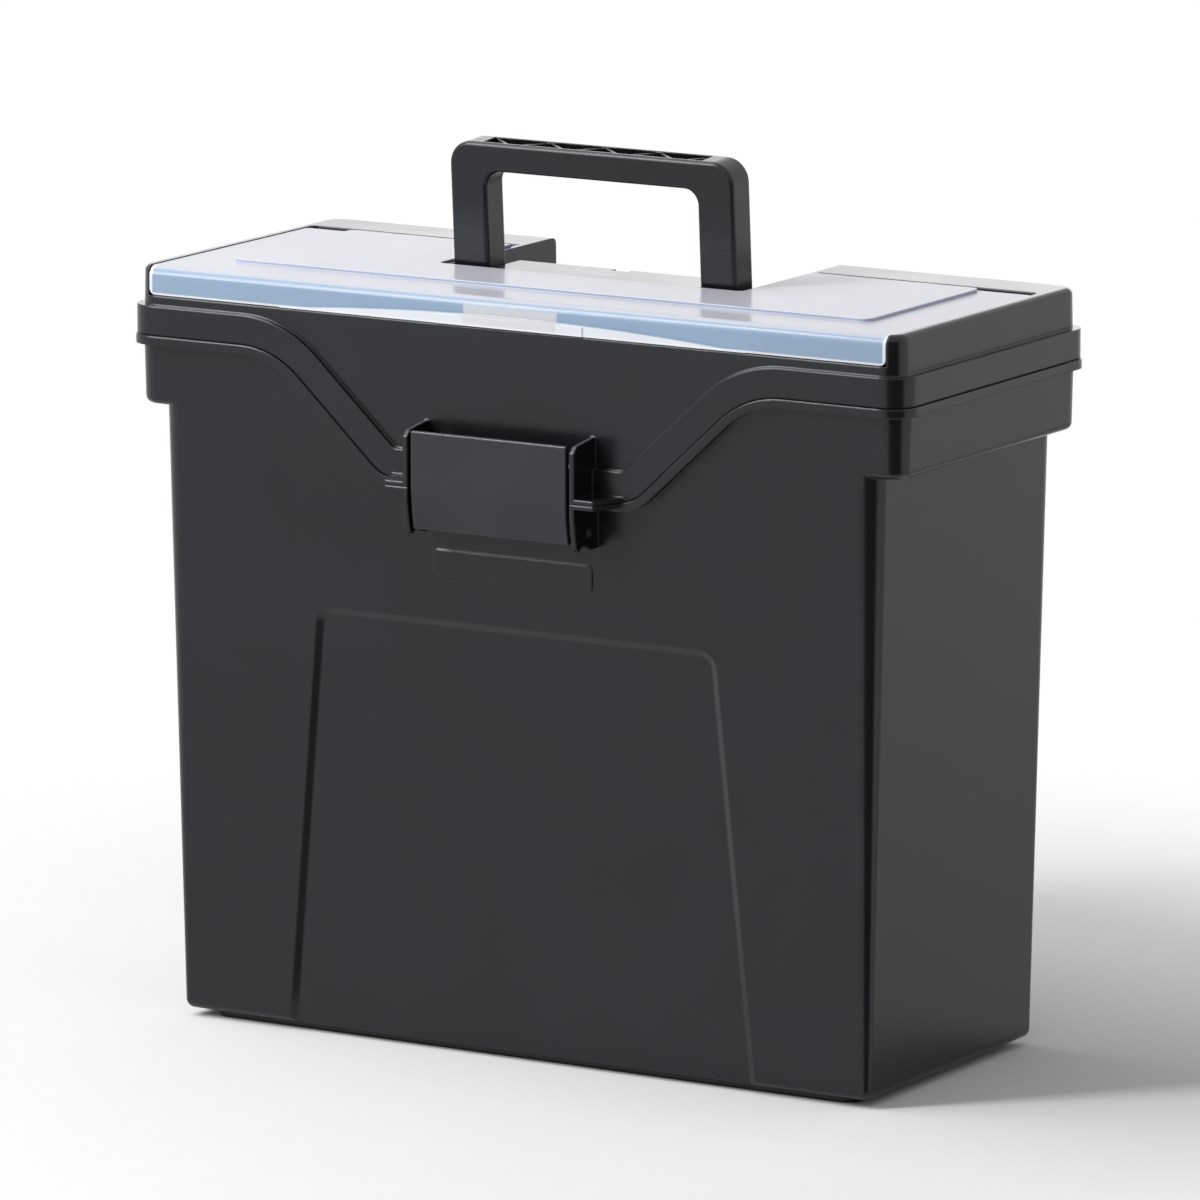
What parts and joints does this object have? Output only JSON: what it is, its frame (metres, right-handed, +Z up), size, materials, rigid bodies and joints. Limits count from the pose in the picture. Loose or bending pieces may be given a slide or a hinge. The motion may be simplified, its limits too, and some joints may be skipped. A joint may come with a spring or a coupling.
{
  "type": "portable file box",
  "caption": "Portable box for hanging papers and keepsakes: tapered bin, hinged lid with a covered organizer tray, folding carry handle and front latch.",
  "frame": {"origin": "middle of the foot's underside, on the plane that the box stands on", "axes": "+Z up, +X along the width, +Y from the latched front to the hinged back"},
  "size_m": [0.34, 0.1658, 0.3413],
  "materials": {
    "black_shell": "moulded, fine satin texture",
    "clear_cover": "frosted see-through, glossy outside",
    "black_handle": "moulded, satin",
    "black_latch": "moulded, smooth satin",
    "steel_pin": "plain drawn wire",
    "black_pin": "moulded"
  },
  "bodies": {
    "bin": {"bin": "black_shell", "latch_pin": "steel_pin", "lid_hinge_pin_left": "steel_pin", "lid_hinge_pin_right": "steel_pin"},
    "lid": {"lid": "black_shell", "cover_hinge_pin_left": "steel_pin", "cover_hinge_pin_right": "steel_pin", "handle_pivot_pin_left": "black_pin", "handle_pivot_pin_right": "black_pin"},
    "organizer_cover": {"organizer_cover": "clear_cover"},
    "handle": {"handle": "black_handle"},
    "latch": {"latch": "black_latch"}
  },
  "joints": [
    {"name": "lid_hinge", "type": "hinge", "parent": "bin", "child": "lid", "pos_m": [0, 0.077, 0.26565], "axis": [-1, 0, 0], "range_deg": [0, 105]},
    {"name": "latch_pivot", "type": "hinge", "parent": "bin", "child": "latch", "pos_m": [0, -0.0737, 0.2082], "axis": [1, 0, 0], "range_deg": [0, 95]},
    {"name": "organizer_cover_hinge", "type": "hinge", "parent": "lid", "child": "organizer_cover", "pos_m": [0, 0.0442, 0.29], "axis": [-1, 0, 0], "range_deg": [0, 95]},
    {"name": "handle_fold", "type": "hinge", "parent": "lid", "child": "handle", "pos_m": [0, -0.002, 0.287], "axis": [-1, 0, 0], "range_deg": [0, 93.1]}
  ],
  "couplings": [
    {"joint": "handle_fold", "follows": "organizer_cover_hinge", "ratio": 0.98}
  ]
}
